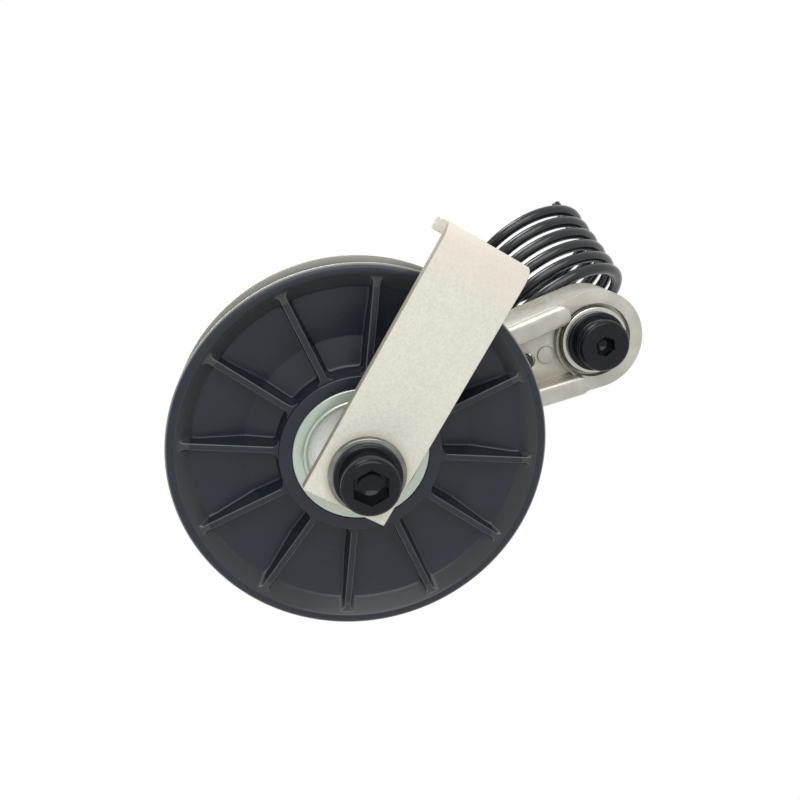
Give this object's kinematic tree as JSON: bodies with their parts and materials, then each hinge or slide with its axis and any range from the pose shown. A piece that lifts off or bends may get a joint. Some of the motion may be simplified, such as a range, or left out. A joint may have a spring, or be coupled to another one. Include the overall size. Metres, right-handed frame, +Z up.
{
  "type": "belt tensioner idler",
  "caption": "Flanged flat-belt idler pulley on a cast swing arm, with a bent belt keeper across its face, a bushed pivot and a torsion spring hooked into the arm.",
  "frame": {"origin": "on the pivot axis, where the rear end of the pivot sleeve seats on the machine", "axes": "+Y along the pivot axis from the pulley side to the machine, +Z up, +X from the pulley side to the pivot side"},
  "size_m": [0.1748, 0.1317, 0.1359],
  "materials": {
    "black_plastic": "satin moulded",
    "bearing_steel": "ground",
    "cage_brass": "satin",
    "zinc_plate": "zinc plated",
    "dark_zinc": "dark passivated zinc",
    "pale_zinc": "satin",
    "black_oxide": "oiled black oxide",
    "cast_aluminium": "as cast",
    "bush_bronze": "sintered",
    "spring_black": "gloss black"
  },
  "bodies": {
    "pivot": {"pivot_sleeve": "bearing_steel", "pivot_washer": "zinc_plate", "pivot_lock_washer": "black_oxide", "pivot_bolt": "black_oxide"},
    "arm": {"tensioner_arm": "cast_aluminium", "front_bush": "bush_bronze", "rear_bush": "bush_bronze", "torsion_spring": "spring_black", "belt_keeper": "pale_zinc", "pulley_washer": "dark_zinc", "pulley_lock_washer": "black_oxide", "pulley_bolt": "black_oxide", "nut_washer": "zinc_plate", "pulley_nut": "zinc_plate", "front_spacer": "zinc_plate", "rear_spacer": "zinc_plate", "bearing_inner_ring": "bearing_steel"},
    "pulley": {"pulley": "black_plastic", "bearing_outer_ring": "bearing_steel", "bearing_front_shield": "bearing_steel", "bearing_rear_shield": "bearing_steel", "hub_front_cover": "zinc_plate", "hub_rear_cover": "zinc_plate"},
    "cage": {"bearing_cage": "cage_brass", "bearing_balls": "bearing_steel"}
  },
  "joints": [
    {"name": "arm_swing", "type": "hinge", "parent": "pivot", "child": "arm", "pos_m": [0, 0, 0], "axis": [0, 1, 0], "range_deg": [-30, 30], "stiffness_Nm_per_rad": 2.2, "springref_deg": 9.74},
    {"name": "pulley_spin", "type": "hinge", "parent": "arm", "child": "pulley", "pos_m": [-0.08649, -0.0517, -0.02894], "axis": [0, 1, 0], "continuous": true},
    {"name": "cage_orbit", "type": "hinge", "parent": "arm", "child": "cage", "pos_m": [-0.08649, -0.0517, -0.02894], "axis": [0, 1, 0], "continuous": true}
  ],
  "couplings": [
    {"joint": "cage_orbit", "follows": "pulley_spin", "ratio": 0.65213}
  ]
}
